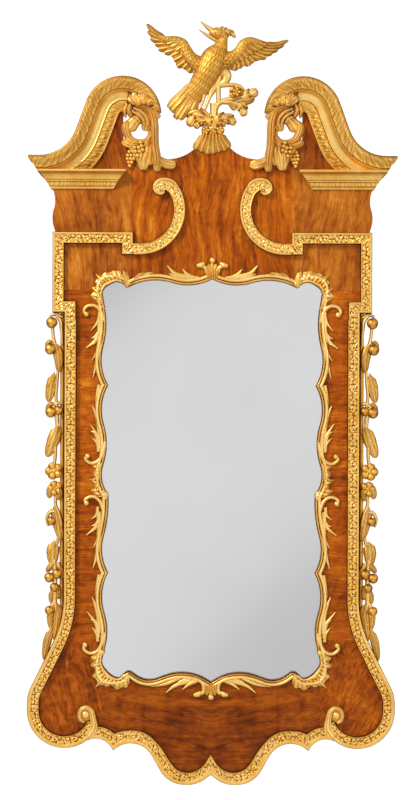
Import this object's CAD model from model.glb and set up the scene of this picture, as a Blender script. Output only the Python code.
# Walnut and gilt wall mirror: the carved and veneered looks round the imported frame.
import math
import bpy
import numpy as np
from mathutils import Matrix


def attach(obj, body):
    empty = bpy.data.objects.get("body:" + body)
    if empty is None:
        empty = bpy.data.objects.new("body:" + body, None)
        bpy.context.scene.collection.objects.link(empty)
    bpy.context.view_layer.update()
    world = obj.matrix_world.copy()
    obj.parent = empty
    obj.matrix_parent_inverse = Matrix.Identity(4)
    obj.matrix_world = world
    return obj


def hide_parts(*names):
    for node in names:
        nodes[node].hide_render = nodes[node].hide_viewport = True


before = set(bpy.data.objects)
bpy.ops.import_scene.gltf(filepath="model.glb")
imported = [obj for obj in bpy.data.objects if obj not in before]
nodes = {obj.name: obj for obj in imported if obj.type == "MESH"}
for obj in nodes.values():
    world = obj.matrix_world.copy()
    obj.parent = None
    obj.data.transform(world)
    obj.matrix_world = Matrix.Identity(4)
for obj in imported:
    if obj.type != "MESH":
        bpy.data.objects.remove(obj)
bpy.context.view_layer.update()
veneerFront = -42.0  # mm, the plane that the carving is glued to
seated = veneerFront + 0.2  # mm, the backs of what is glued there
wallEnd, wallBack = -14.0, -13.5  # mm, where the returns of neck and cornice stop
print("frame loaded,", len(nodes), "nodes")


def lengths(line):
    # the way along a line to each of its points
    return np.r_[0, np.cumsum(np.linalg.norm(np.diff(line, axis=0), axis=1))]


def smoothPath(points, count):
    # cubic through every row (Catmull-Rom slopes over chord lengths), read at evenly spaced stations
    p = np.array(points, float)
    t = lengths(p[:, :2])
    slope = np.gradient(p, t, axis=0)
    s = np.linspace(0, t[-1], count)
    i = np.clip(np.searchsorted(t, s, side="right") - 1, 0, len(t) - 2)
    h = (t[i + 1] - t[i])[:, None]
    f = (s - t[i])[:, None] / h
    return ((2 * f**3 - 3 * f**2 + 1) * p[i] + (f**3 - 2 * f**2 + f) * h * slope[i]
            + (3 * f**2 - 2 * f**3) * p[i + 1] + (f**3 - f**2) * h * slope[i + 1])


def roundedPath(corners, spacing, arcPoints=13, closest=0.01):
    # straight runs with a tangent arc at each corner; a radius of None takes all the room its runs leave
    p = np.array([c[:2] for c in corners], float)
    radii = [c[2] for c in corners]
    run = np.linalg.norm(np.diff(p, axis=0), axis=1)
    way = np.diff(p, axis=0) / run[:, None]
    half = np.r_[0, np.arccos(np.clip((way[:-1] * way[1:]).sum(1), -1, 1)) / 2, 0]
    taken = np.array([0 if r is None else r * np.tan(a) for r, a in zip(radii, half)])
    free = [i for i in range(1, len(p) - 1) if radii[i] is None]
    room = {i: min(run[i - 1] / 2 if i - 1 in free else run[i - 1] - taken[i - 1],
                   run[i] / 2 if i + 1 in free else run[i] - taken[i + 1]) for i in free}
    for i in free:
        taken[i] = room[i]
    line, f = [p[:1]], np.linspace(0, 1, arcPoints)[:, None]
    for i in range(1, len(p) - 1):  # an arc as a rational curve on its tangents
        a, b, c = p[i] - way[i - 1] * taken[i], p[i], p[i] + way[i] * taken[i]
        w = np.cos(half[i])
        line.append(((1 - f)**2 * a + 2 * f * (1 - f) * w * b + f**2 * c)
                    / ((1 - f)**2 + 2 * f * (1 - f) * w + f**2))
    line = np.concatenate(line + [p[-1:]])
    line = line[np.r_[True, np.linalg.norm(np.diff(line, axis=0), axis=1) > closest]]
    s = lengths(line)
    at = np.linspace(0, s[-1], max(2, int(s[-1] / spacing)))
    return np.stack([np.interp(at, s, line[:, k]) for k in (0, 1)], 1)


def normals(line):
    # unit normals in the plane of the front, to the left of the way the line runs
    d = np.gradient(line, axis=0)
    d /= np.linalg.norm(d, axis=1)[:, None] + 1e-9
    return np.stack([-d[:, 1], d[:, 0]], 1)


def smoothStep(low, high, x):
    # from 0 at low to 1 at high, level at both ends
    f = np.clip((x - low) / (high - low), 0, 1)
    return f * f * (3 - 2 * f)


def arch(x, middle, half):
    # a half round: the square root of one minus the squared distance from its middle, in half widths
    return np.sqrt(np.clip(1 - ((x - middle) / half)**2, 0, 1))


def groove(x, middle, half):
    # a soft line: e to the minus squared distance from its middle, in half widths
    return np.exp(-((x - middle) / half)**2)


def loft(sections, relief):
    # closed rings one after another, each end closed by a fan about its ring's middle; turned outward
    nu, nv = sections.shape[:2]
    points = np.concatenate([sections.reshape(-1, 3), sections[[0, -1]].mean(1)])
    i, j = np.arange(nu - 1)[:, None] * nv, np.arange(nv)[None, :]
    k = (j + 1) % nv
    quads = np.stack([i + j, i + k, i + k + nv, i + j + nv], -1).reshape(-1, 4)
    j, k, last = j[0], k[0], (nu - 1) * nv
    hub = np.full(nv, nu * nv)
    tris = np.concatenate([np.stack([k, j, hub], -1), np.stack([last + j, last + k, hub + 1], -1)])
    fan = np.concatenate([quads[:, [0, 1, 2]], quads[:, [0, 2, 3]], tris])
    a, b, c = (points[fan[:, n]] for n in range(3))
    if np.einsum("ij,ij->", a, np.cross(b, c)) < 0:
        quads, tris = quads[:, ::-1], tris[:, ::-1]
    tone = np.r_[relief.ravel(), relief[[0, -1]].mean(1)]
    return points, quads, tris, tone


def closed(front, tone, back, backTone, atWall=None):
    # a carved front with two rows of a flat back behind its edges; atWall moves one ring's back: row, x and y
    behind = front[:, [-1, 0]].copy()
    behind[..., 1] = back
    if atWall:
        behind[atWall[0], :, :2] = atWall[1:]
    return loft(np.concatenate([front, behind], 1), np.concatenate([tone, np.full((len(front), 2), backTone)], 1))


def mirrored(shells):
    return [(p * [-1, 1, 1], q[:, ::-1], t[:, ::-1], r) for p, q, t, r in shells]


def both(shells):
    return shells + mirrored(shells)


def makePiece(name, shells, *replaced):
    # all of a carved piece's shells as one mesh at the origin, in metres
    start = np.cumsum([0] + [len(s[0]) for s in shells[:-1]])
    points = np.concatenate([s[0] for s in shells]) / 1000
    quads = np.concatenate([s[1] + o for s, o in zip(shells, start)])
    tris = np.concatenate([s[2] + o for s, o in zip(shells, start)])
    mesh = bpy.data.meshes.new(name)
    mesh.vertices.add(len(points))
    mesh.vertices.foreach_set("co", points.astype(np.float32).ravel())
    corner = np.r_[quads.ravel(), tris.ravel()].astype(np.int32)
    mesh.loops.add(len(corner))
    mesh.loops.foreach_set("vertex_index", corner)
    first = np.r_[np.arange(len(quads)) * 4, len(quads) * 4 + np.arange(len(tris)) * 3].astype(np.int32)
    mesh.polygons.add(len(first))
    mesh.polygons.foreach_set("loop_start", first)
    mesh.update(calc_edges=True)
    mesh.polygons.foreach_set("use_smooth", np.ones(len(first), bool))
    mesh.set_sharp_from_angle(angle=math.radians(55))
    tone = mesh.attributes.new("relief", "FLOAT", "POINT")
    tone.data.foreach_set("value", np.concatenate([s[3] for s in shells]).astype(np.float32))
    mesh.materials.append(giltWood)
    piece = bpy.data.objects.new(name, mesh)
    bpy.context.scene.collection.objects.link(piece)
    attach(piece, "frame")
    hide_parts(*replaced)


def makePair(name, shells, node):
    makePiece("right" + name, shells, "right_" + node)
    makePiece("left" + name, mirrored(shells), "left_" + node)


def linear(hexColour):
    # an sRGB hex colour as linear light
    c = np.array([int(hexColour[k:k + 2], 16) for k in (1, 3, 5)]) / 255
    return tuple(np.where(c <= 0.04045, c / 12.92, ((c + 0.055) / 1.055)**2.4)) + (1.0,)


def setInputs(node, inputs):
    # an input is a value, or another node's output to link
    for key, value in inputs.items():
        if isinstance(value, bpy.types.NodeSocket):
            node.id_data.links.new(value, node.inputs[key])
        else:
            node.inputs[key].default_value = value


def addNode(tree, kind, inputs=None, output=0, **settings):
    # a node with its settings and inputs, of which one output is given back
    node = tree.nodes.new("ShaderNode" + kind)
    for key, value in settings.items():
        setattr(node, key, value)
    setInputs(node, inputs or {})
    return node.outputs[output]


def newMaterial(name):
    material = bpy.data.materials.new(name)
    material.use_nodes = True
    tree = material.node_tree
    return material, tree, tree.nodes["Principled BSDF"], addNode(tree, "TexCoord", output="Object")


def fillRamp(ramp, stops):
    band = ramp.node.color_ramp
    while len(band.elements) < len(stops):
        band.elements.new(0.5)
    for element, (place, colour) in zip(band.elements, stops):
        element.position = place
        element.color = linear(colour)
    return ramp


perMetre = 1000.0  # a pattern of n mm has a scale of perMetre / n
gilding = {
    "stops": [(0.0, "#3A1D06"), (0.3, "#9E6318"), (0.62, "#DFA843"), (1.0, "#FAE19A")],  # recess to rubbed
    "cloud": (38.0, 5.0, 0.65, 0.45), "grain": (2.2, 3.0, 0.5, 0.35),  # mm, detail, roughness, share of the tone
    "plain": 0.6, "dull": 0.62, "burnished": 0.4, "metal": 0.75, "bump": 0.25, "bumpDepth": 0.0006}


def makeGilding(name, carved):
    # water gilding over red bole on lime: soft gleam on the high parts, toned brown in the hollows
    material, tree, shader, place = newMaterial(name)
    tone = gilding["plain"]
    if carved:
        tone = addNode(tree, "Attribute", output="Fac", attribute_name="relief")
    for size, detail, rough, share in (gilding["cloud"], gilding["grain"]):
        noise = addNode(tree, "TexNoise", {"Vector": place, "Scale": perMetre / size, "Detail": detail,
                                           "Roughness": rough})
        shift = addNode(tree, "Math", {0: noise, 1: -0.5}, operation="ADD")
        tone = addNode(tree, "Math", {0: shift, 1: share, 2: tone}, operation="MULTIPLY_ADD")
    setInputs(shader, {
        "Base Color": fillRamp(addNode(tree, "ValToRGB", {"Fac": tone}), gilding["stops"]),
        "Roughness": addNode(tree, "MapRange", {"Value": tone, "To Min": gilding["dull"],
                                                "To Max": gilding["burnished"]}),
        "Metallic": gilding["metal"],
        "Normal": addNode(tree, "Bump", {"Strength": gilding["bump"], "Distance": gilding["bumpDepth"],
                                         "Height": noise})})  # the grain
    return material


walnut = {
    "bright": [(0.0, "#6B2A02"), (0.35, "#994604"), (0.65, "#B35C0A"), (1.0, "#CE8424")],
    "honey": [(0.0, "#6B2E06"), (0.35, "#9A5010"), (0.65, "#B4691C"), (1.0, "#CE8E36")],
    "dark": [(0.0, "#4A1C02"), (0.35, "#773303"), (0.65, "#944807"), (1.0, "#B06818")],
    "wander": 3.0, "streak": (11.0, 6.0, 0.6), "pore": (2.0, 2.0, 0.5), "broad": (95.0, 2.0, 0.5),
    "cloud": (14.0, 5.0, 0.7), "growth": (60.0, 1.0, 0.5),  # mm, detail and roughness of each pattern
    "drawn": (1.0, 0.2, 0.1), "arched": (1.0, 0.3, 0.12), "rings": 140.0,  # lines about 6 mm apart
    "broadShare": 0.65, "poreShare": 0.35, "ringShare": 0.09, "contrast": 0.29, "lift": 0.02,
    "darkBelow": -0.5, "duskDepth": 0.085,  # m
    "rough": (0.32, 0.5), "shine": 0.1, "bump": 0.08, "bumpDepth": 0.0004}


def makeWalnut(name, turn, figure, seed, wave=0.02, mottle=0.5, shade=0.0, fall=-1.0, match=1, top="bright",
               dusk=0.27, line=0.7):  # turn in degrees, figure in mm, fall and dusk as heights in m
    # polished figured walnut veneer: fine brown streaks along the grain, cloudy figure across, a soft wax shine
    material, tree, shader, place = newMaterial(name)
    laid = addNode(tree, "Mapping", {
        "Vector": place, "Location": (seed * 0.37, seed * 0.11, seed * 0.53),
        "Rotation": (0, math.radians(turn), 0), "Scale": (match, 1.0, 1.0)})
    wander = addNode(tree, "TexNoise", {"Vector": laid, "Scale": perMetre / figure,
                                        "Detail": walnut["wander"]}, "Color")
    bent = addNode(tree, "VectorMath", {0: wander, 1: (wave, 0.0, wave), 2: laid}, operation="MULTIPLY_ADD")
    drawn, arched = (addNode(tree, "Mapping", {"Vector": bent, "Scale": walnut[way]})
                     for way in ("drawn", "arched"))
    noise = {}
    for part, vector in (("streak", drawn), ("pore", drawn), ("broad", bent), ("cloud", bent), ("growth", arched)):
        size, detail, rough = walnut[part]
        noise[part] = addNode(tree, "TexNoise", {"Vector": vector, "Scale": perMetre / size,
                                                 "Detail": detail, "Roughness": rough})
    ring = addNode(tree, "Math", {0: noise["growth"], 1: walnut["rings"]}, operation="MULTIPLY")
    ring = addNode(tree, "Math", {0: ring}, operation="SINE")
    noise["ring"] = addNode(tree, "MapRange", {"Value": ring, "From Min": 0.2, "From Max": 1.0,
                                               "To Min": 0.0, "To Max": -1.0})
    shares = {"streak": line, "broad": walnut["broadShare"], "cloud": mottle, "pore": walnut["poreShare"]}
    centre = 0.5 * sum(shares.values()) - walnut["lift"] + shade
    tone = 0.0
    for part, share in (*shares.items(), ("ring", walnut["ringShare"])):
        tone = addNode(tree, "Math", {0: noise[part], 1: share, 2: tone}, operation="MULTIPLY_ADD")
    tone = addNode(tree, "MapRange", {"Value": tone, "From Min": centre - walnut["contrast"],
                                      "From Max": centre + walnut["contrast"]})
    level = addNode(tree, "SeparateXYZ", {"Vector": place}, "Z")
    low, high = (addNode(tree, "MapRange", {"Value": level, "From Min": a, "From Max": b})
                 for a, b in ((fall, walnut["darkBelow"]), (dusk, dusk - walnut["duskDepth"])))
    fresh = addNode(tree, "Math", {0: low, 1: high}, operation="MINIMUM")
    bright, dark = (fillRamp(addNode(tree, "ValToRGB", {"Fac": tone}), walnut[stops])
                    for stops in (top, "dark"))
    polished, pitted = walnut["rough"]
    setInputs(shader, {
        "Base Color": addNode(tree, "Mix", {0: fresh, 6: dark, 7: bright}, 2, data_type="RGBA"),
        "Roughness": addNode(tree, "MapRange", {"Value": noise["pore"], "To Min": polished,
                                                "To Max": pitted}),
        "Specular IOR Level": walnut["shine"],
        "Normal": addNode(tree, "Bump", {"Strength": walnut["bump"], "Distance": walnut["bumpDepth"],
                                         "Height": noise["pore"]})})
    return material


giltWood = makeGilding("waterGiltCarvedLimewood", True)
plainGilt = makeGilding("waterGiltPlanedLimewood", False)

# flat mouldings: plain raised rims with leafy carving between them
vine = {
    "height": 12.5, "ground": 8.6, "outerRim": 0.23, "innerRim": 0.86, "pitch": 41.0, "step": 1.0, "rows": 26,
    "gouge": 0.8, "pit": (2.0, 1.3), "lumps": (8.2, 13.7),
    "curls": [(2, -3.4, 3.6, 0.4), (8.5, 3.8, 3.4, 2.6), (12, -4.2, 2.8, -1.0), (17, 2.2, 3.8, 1.2),
        (21, -5.0, 2.4, 3.0), (25, 4.6, 2.8, -0.6), (29.5, -2.4, 3.6, 2.0), (34, 4.4, 2.6, 0.2),
        (37.5, -4.6, 3.0, -2.2)],
    "pits": [(5.5, 0.3), (14.2, -0.6), (23, 0.4), (32, 0.8), (39.5, -0.4)]}


def carvedField(s, v, across):
    # curled leaves cut with a gouge: crescents of several sizes on both sides of a row of pits, over soft lumps
    pitch, (pitLong, pitWide), (short, long) = vine["pitch"], vine["pit"], vine["lumps"]
    fold = s % pitch
    y = (v - 0.5) * across * ((np.floor(s / pitch) % 2) * 2 - 1)
    cut = 0.0
    for x0, y0, radius, turn in vine["curls"]:
        dx, dy = (fold - x0 + pitch / 2) % pitch - pitch / 2, y - y0
        r = np.hypot(dx, dy)
        facing = (dx * math.cos(turn) + dy * math.sin(turn)) / (r + 0.1)
        cut = np.maximum(cut, 0.8 * groove(r, radius, vine["gouge"]) * smoothStep(-0.2, 0.6, facing))
    for x0, y0 in vine["pits"]:
        dx, dy = (fold - x0 + pitch / 2) % pitch - pitch / 2, y - y0
        cut = np.maximum(cut, np.sqrt(np.clip(1 - (dx / pitLong)**2 - (dy / pitWide)**2, 0, 1)))
    lump = (0.5 + 0.25 * np.cos(2 * np.pi * s / short + 2.0 * y / 3)
            + 0.25 * np.cos(2 * np.pi * s / long - 1.4 * y / 3))
    return (0.62 + 0.38 * lump) * (1 - cut)


def mouldingHeights(s, w, across, outerRim=vine["outerRim"], line=0.6, depth=1.0):
    # height over the veneer and tone: rims as rounded fillets, the field let down between them, a dark quirk inside
    inner = vine["innerRim"]
    rim = np.maximum(1 - smoothStep(outerRim - 0.04, outerRim + 0.01, w), smoothStep(inner - 0.01, inner + 0.03, w))
    v = (w - outerRim) / (inner - outerRim)
    field = 1 - depth * (1 - carvedField(s, v, across * (inner - outerRim)))
    x = np.clip(w / outerRim, 0, 1)
    crown = vine["height"] * (0.62 + 0.38 * np.sqrt(np.clip(1 - (1 - np.minimum(x / 0.5, 1))**2, 0, 1)))
    height = rim * crown + (1 - rim) * (vine["ground"] + (vine["height"] - vine["ground"] - 0.4) * field)
    quirk = np.maximum(smoothStep(0.93, 0.95, w), line * (1 - smoothStep(0.03, 0.06, w)))
    height = height * (1 - 0.85 * quirk)
    edge = groove(w, outerRim, 0.024) + 0.8 * groove(w, inner, 0.022)
    tone = rim * (0.5 + 0.24 * smoothStep(0, 0.1, w)) + (1 - rim) * (0.08 + 0.8 * field) - 0.42 * edge
    return height, np.clip(tone * (1 - quirk), 0, 1)


def bandShell(outer, inner, heights, rows=vine["rows"], back=seated):
    # ruled from the outer line to the inner one; the front stands up by its heights, the back is flat
    w = np.linspace(0, 1, rows)[None, :]
    s = lengths((outer + inner) / 2)[:, None]
    across = np.linalg.norm(inner - outer, axis=1)[:, None]
    height, tone = heights(s + 0 * w, w + 0 * s, across)
    flat = outer[:, None] * (1 - w[..., None]) + inner[:, None] * w[..., None]
    return closed(np.stack([flat[..., 0], veneerFront - height, flat[..., 1]], -1), tone, back, 0.2)


shoulder = {
    "half": 12.0,
    "corners": [(284, -110), (284, -84), (308, -84), (308, 54), (170, 54), (170, 32), (157, 32)]}


def mitredRuns(corners, half):
    # each straight run as its own length, its ends cut on the line that halves the corner
    p = np.array(corners, float)
    way = np.diff(p, axis=0)
    way /= np.linalg.norm(way, axis=1)[:, None]
    before, after = np.r_[way[:1], way], np.r_[way, way[-1:]]
    mitre = before + after
    mitre /= np.linalg.norm(mitre, axis=1)[:, None]
    stretch = half / (mitre * before).sum(1)[:, None]
    across = np.stack([-mitre[:, 1], mitre[:, 0]], 1) * stretch
    shells = []
    for i in range(len(p) - 1):
        count = max(4, int(np.linalg.norm(p[i + 1] - p[i]) / vine["step"]))
        f = np.linspace(0, 1, count)[:, None]
        left = (p[i] + across[i]) * (1 - f) + (p[i + 1] + across[i + 1]) * f
        right = (p[i] - across[i]) * (1 - f) + (p[i + 1] - across[i + 1]) * f
        shells.append(bandShell(right, left, mouldingHeights))
    return shells


makePair("ShoulderMoulding", mitredRuns(shoulder["corners"], shoulder["half"]), "shoulder_moulding")

sideRun = {
    "corners": [(296, -110, 0), (296, -714, 200), (368, -860, 75), (368, -967, 75), (245.2, -967, 75),
        (225.0, -923.7, 0)],
    "width": 25.0, "footRim": 0.34, "broadens": (480, 660), "lineEnds": (670, 720),  # mm along the run
    "curl": [(243.8, -942), (234.5, -927), (235.6, -907), (239.5, -892), (248, -885.6), (258.5, -889),
        (262.8, -899), (260, -910.5), (252.5, -915)],
    "curlHalf": [11, 9.5, 7, 5.8, 5.2, 4.8, 4.6, 4.2, 3.2], "curlRise": 15.0,
    "eye": (250.5, veneerFront, -900), "eyeHalf": 11.5, "bed": 18.0}


def footHeights(s, w, across):
    # the plain outer rim grows broader down the foot; above the foot a dark line parts the moulding from its strip
    start, end = sideRun["broadens"]
    rim = np.interp(s, [0, start, end], [vine["outerRim"], vine["outerRim"], sideRun["footRim"]])
    return mouldingHeights(s, w, across, rim, 1 - smoothStep(*sideRun["lineEnds"], s))


def curlShell(points, widths, rise, count=110):
    # a plain fillet curled into a volute: flat on top with rounded edges and two grooves along it
    line = smoothPath(np.c_[points, widths], count)
    way = normals(line[:, :2])
    v = np.linspace(-1, 1, 17)[None, :]
    width = line[:, 2:3]
    crown = np.sqrt(np.clip(1 - np.abs(v)**3, 0, 1))
    cut = groove(v, 0.35, 0.14) + groove(v, -0.35, 0.14)
    height = rise * (0.3 + 0.7 * crown - 0.12 * cut) + 0 * width
    x, z = (line[:, k:k + 1] + way[:, k:k + 1] * v * width for k in (0, 1))
    tone = np.clip(0.3 + 0.55 * crown - 0.3 * cut + 0 * width, 0, 1)
    return closed(np.stack([x, veneerFront - height, z], -1), tone, seated, 0.1)


def ballShell(x, y, z, radius, flat=1.0, around=14, tone=0.4, creases=0):
    # a globe in rings from its front pole to its back one, its edge toned darker, with creases from the pole
    a = np.linspace(0.12, np.pi - 0.12, 9)[:, None]
    b = np.linspace(0, 2 * np.pi, around, endpoint=False)[None, :]
    crease = np.abs(np.cos(creases * b / 2 + 0.5))**6 * np.sin(a) if creases else 0 * b
    r = radius * np.sin(a) * (1 - 0.07 * crease)
    points = np.stack([x + r * np.cos(b), y - flat * radius * np.cos(a) + 0 * b, z + r * np.sin(b)], -1)
    return loft(points, np.clip(tone + 0.4 * np.cos(a) - 0.35 * crease, 0, 1))


sideLine = roundedPath(sideRun["corners"], vine["step"])
makePair("SideMoulding", [
    bandShell(sideLine, sideLine - sideRun["width"] * normals(sideLine), footHeights),
    curlShell(sideRun["curl"], sideRun["curlHalf"], sideRun["curlRise"]),
    ballShell(*sideRun["eye"], sideRun["bed"], flat=0.55, around=36, tone=0.25),
    ballShell(*sideRun["eye"], sideRun["eyeHalf"], flat=1.1, around=28)], "side_moulding")

apron = {
    "rim": 0.3, "heelEnd": 246,
    "heel": [(272.75, -967, None), (219, -936, 36), (194.9, -971.9, 0)],
    "heelInner": [(236, -921.5), (228, -922), (214, -924), (202, -929), (191.8, -936)],
    "wave": [(194.9, -971.9, 0), (149.6, -925.6, 48.6), (85, -1039.9, 56.2), (26.9, -1039.9, 56.2),
        (0, -1020.2, 0)],
    "waveInner": [(191.8, -936), (181.8, -932), (165.9, -930), (149.9, -930), (133.8, -934), (119.8, -942),
        (107.8, -954), (95.7, -968), (85.6, -984), (77.6, -996), (67.6, -1007), (57.5, -1012), (45.5, -1014),
        (33.5, -1012), (21.6, -1006), (11.6, -996), (4.6, -984), (0, -976)]}


def apronHeights(s, w, across):
    return mouldingHeights(s, w, across, apron["rim"], 0.0)


heelLine = roundedPath(apron["heel"], vine["step"])
heelLine = heelLine[heelLine[:, 0] < apron["heelEnd"]]
waveLine = roundedPath(apron["wave"], vine["step"])
makePair("ApronMoulding", [bandShell(line, smoothPath(apron[inner], len(line)), apronHeights)
                           for line, inner in ((heelLine, "heelInner"), (waveLine, "waveInner"))], "apron_moulding")

crestScroll = {
    "centre": (144.0, 110.0), "outer": 90.5, "inner": 65.5, "sweep": 122.0, "depth": 0.75,
    "lead": (157, 145), "outerLead": 19.5, "innerLead": 44.5,
    "head": [(73, 167), (84, 174), (98.1, 176.4), (112, 172), (120.4, 161), (120.4, 150), (111.9, 141),
        (101.9, 139.4), (95.9, 144)],
    "crotch": [(92, 149.4), (94, 150.4), (97, 152)]}


def scrollHeights(s, w, across):
    # the crest scrolls are cut less deep
    return mouldingHeights(s, w, across, depth=crestScroll["depth"])


def scrollEdge(edge, leadLevel, end):
    # a straight lead, an arc about the centre, and a smooth line through the points of the end
    turn = np.linspace(0, math.radians(crestScroll["sweep"]), 150)
    around = np.stack([-np.sin(turn), -np.cos(turn)], 1)
    lead = np.stack([np.linspace(*crestScroll["lead"], 11), np.zeros(11)], 1)
    line = np.concatenate([lead + [0, leadLevel], crestScroll["centre"] + edge * around])
    return np.concatenate([line, smoothPath(np.concatenate([line[-12::11], end]), 110)[11:]])


scrollEdges = [scrollEdge(crestScroll[edge], crestScroll[edge + "Lead"], crestScroll[end])
               for edge, end in (("outer", "head"), ("inner", "crotch"))]
makePair("CrestScroll", [bandShell(*scrollEdges, scrollHeights)], "crest_scroll")
print("flat mouldings carved")

# plain strips outside the side mouldings, dying into the curve of the foot
strip = {"inner": 295.0, "line": [(304.0, -96.0, 0), (304.0, -300.0, 0), (304.0, -662.0, 0), (302.0, -700.0, 0)],
         "back": -14.2, "sink": 2.0, "round": 1.5}


def stripHeights(s, w, across):
    # set back from the veneer, its edges rounded, dark where the moulding shades it
    return (-strip["sink"] - strip["round"] * np.abs(2 * w - 1)**3,
            np.clip(0.58 - 0.5 * smoothStep(0.55, 0.75, w), 0, 1))


stripLine = roundedPath(strip["line"], spacing=6.0)
stripInner = stripLine * [0, 1] + [strip["inner"], 0]
makePair("EdgeStrip", [bandShell(stripLine, stripInner, stripHeights, rows=9, back=strip["back"])], "edge_strip")

# swan neck: leaf-carved cyma, plain cove and a small carved ogee, returned to the wall at the ear
neck = {
    "ear": 320.0, "tip": 216.0, "dip": (290.9, 77.0), "peak": (229.7, 384.0, 77.0), "end": (166.1, 372.8, 0),
    "width": 66.0, "reach": 48.0, "seat": 190.0, "leaf": 8.0, "bead": 5.6, "lean": 24.0, "edge": 0.6,
    "lines": [(0.0, 0.6), (0.06, 0.3), (0.36, 0.55), (0.425, 0.3), (0.695, 0.55), (0.96, 0.2)],  # place, darkness
    "profile": [(0, 0.97), (0.05, 1.0), (0.13, 0.95), (0.2, 0.83), (0.27, 0.72), (0.35, 0.66), (0.37, 0.6),
        (0.39, 0.57), (0.43, 0.5), (0.48, 0.41), (0.55, 0.35), (0.63, 0.33), (0.68, 0.35), (0.7, 0.3), (0.76, 0.3),
        (0.84, 0.25), (0.93, 0.15), (1, 0.12)]}


def leafRow(s, v, pitch, lean):
    # slanting leaf strokes side by side, unevenly spaced as a hand leaves them, each rounded and nicked at its foot
    wave = 2 * np.pi * s
    phase = s / pitch + lean * v + 0.3 * np.sin(wave / (2.6 * pitch)) + 0.2 * np.sin(wave / (6.1 * pitch))
    stroke = np.abs(np.sin(np.pi * phase))**0.7
    nick = (1 - stroke) * smoothStep(0.35, 0.9, v)
    return np.clip(stroke * (0.8 + 0.2 * np.sin(2 * np.pi * (v * 1.5 + 0.4 * phase))) - 0.5 * nick, 0, 1)


def neckHeights(s, w):
    # dark rim, leaf-cut band, quirk, fillet, plain cove, quirk and a small leaf-cut ogee with a thin rim
    share, out = np.array(neck["profile"]).T
    height = neck["reach"] * np.interp(w, share, out)
    outerBand = smoothStep(0.055, 0.075, w) * (1 - smoothStep(0.34, 0.355, w))
    innerBand = smoothStep(0.7, 0.72, w) * (1 - smoothStep(0.95, 0.965, w))
    outerLeaf = leafRow(s, np.clip((w - 0.06) / 0.29, 0, 1), neck["leaf"], 1.6)
    innerLeaf = leafRow(s, np.clip((w - 0.71) / 0.25, 0, 1), neck["bead"], -1.3)
    tone = 0.68 + 0.12 * groove(w, 0.55, 0.09) - 0.42 * (1 - smoothStep(0.02, 0.06, w))
    tone = (tone * (1 - outerBand - innerBand) + outerBand * (0.43 + 0.4 * outerLeaf)
            + innerBand * (0.32 + 0.44 * innerLeaf))
    line = sum(groove(w, at, 0.01) * dark for at, dark in neck["lines"])
    height = height - 1.1 * outerBand * (1 - outerLeaf) - 1.3 * innerBand * (1 - innerLeaf)
    return height, np.clip(tone - line, 0, 1)


def neckShell():
    # the profile carried along the neck's upper edge, each station stopped where it meets the cornice
    dipX, dipRadius = neck["dip"]
    line = roundedPath([(neck["ear"] + neck["reach"], neck["tip"], 0), (dipX, neck["tip"], dipRadius), neck["peak"],
                        neck["end"]], spacing=1.3)
    inward = normals(line)
    drop = np.where(inward[:, 1] < -1e-3, (neck["seat"] - line[:, 1]) / np.minimum(inward[:, 1], -1e-3), 1e9)
    width = np.minimum(neck["width"], drop)
    w = np.linspace(0, 1, 60)[None, :] * width[:, None] / neck["width"]
    height, tone = neckHeights(lengths(line)[:, None] + 0 * w, w)
    flat = line[:, None] + inward[:, None] * (w * neck["width"])[..., None]
    front = np.stack([flat[..., 0], veneerFront - height, flat[..., 1]], -1)
    lean = np.clip(1 - lengths(line) / neck["lean"], 0, 1)[:, None]  # near the tip the stations lean to the mitre
    front[..., 0] += lean * (neck["ear"] + height - front[..., 0])
    wall = front[:1].copy()
    wall[..., 1] = wallEnd
    rings = np.concatenate([wall, front])
    edge = rings[:, :1] + np.array([0, neck["edge"], 0])  # the upper face is gilt again behind its dark rim
    edge[0] = rings[0, :1]
    tones = np.concatenate([np.full((len(rings), 1), 0.6), np.concatenate([tone[:1] * 0 + 0.5, tone])], 1)
    return closed(np.concatenate([edge, rings], 1), tones, seated, 0.6, (0, neck["ear"], wallBack))


makePair("NeckMoulding", [neckShell()], "neck_moulding")

cornice = {
    "low": 151.0, "high": 190.0, "inner": 203.0, "reach": 30.0, "bead": 7.5, "member": (0.16, 0.36),
    "lines": (0.145, 0.37, 0.475, 0.8, 0.865),
    "profile": [(0.0, 0.06), (0.02, 0.12), (0.06, 0.17), (0.11, 0.18), (0.13, 0.14), (0.16, 0.2), (0.22, 0.28),
        (0.3, 0.33), (0.36, 0.36), (0.38, 0.42), (0.44, 0.47), (0.48, 0.47), (0.5, 0.51), (0.6, 0.57), (0.7, 0.66),
        (0.78, 0.79), (0.83, 0.91), (0.85, 0.93), (0.87, 0.99), (0.93, 1.0), (0.98, 0.99), (1.0, 0.95)]}


def corniceShell():
    # its upright profile carried along the front and turned back to the wall at the ear
    share, out = np.array(cornice["profile"]).T
    up = np.linspace(0, 1, 60)
    reach = cornice["reach"] * np.interp(up, share, out)
    level = cornice["low"] + up * (cornice["high"] - cornice["low"])
    f = np.linspace(0, 1, 130)[:, None]
    x = (cornice["inner"] - reach) * (1 - f) + (neck["ear"] + reach) * f
    start, end = cornice["member"]
    member = ((up > start) & (up < end))[None, :]
    beads = np.abs(np.sin(np.pi * x / cornice["bead"] + 1.1 * np.sin(x / 9.0) + 2.0 * (up - 0.26)[None, :]))
    carve = np.where(member, 0.8 * beads - 0.8, 0.0)
    front = np.stack([x, veneerFront - reach - carve, level + 0 * x], -1)
    wall = front[-1:].copy()
    wall[..., 1] = wallEnd
    tone = np.concatenate([np.where(member, 0.5 + 0.24 * beads, 0.68 + 0 * beads), np.full((1, 60), 0.5)])
    line = sum(groove(up, at, 0.016) for at in cornice["lines"])
    return closed(np.concatenate([front, wall]), np.clip(tone - 0.5 * line, 0, 1), seated, 0.2,
                  (-1, neck["ear"], wallBack))


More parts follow.
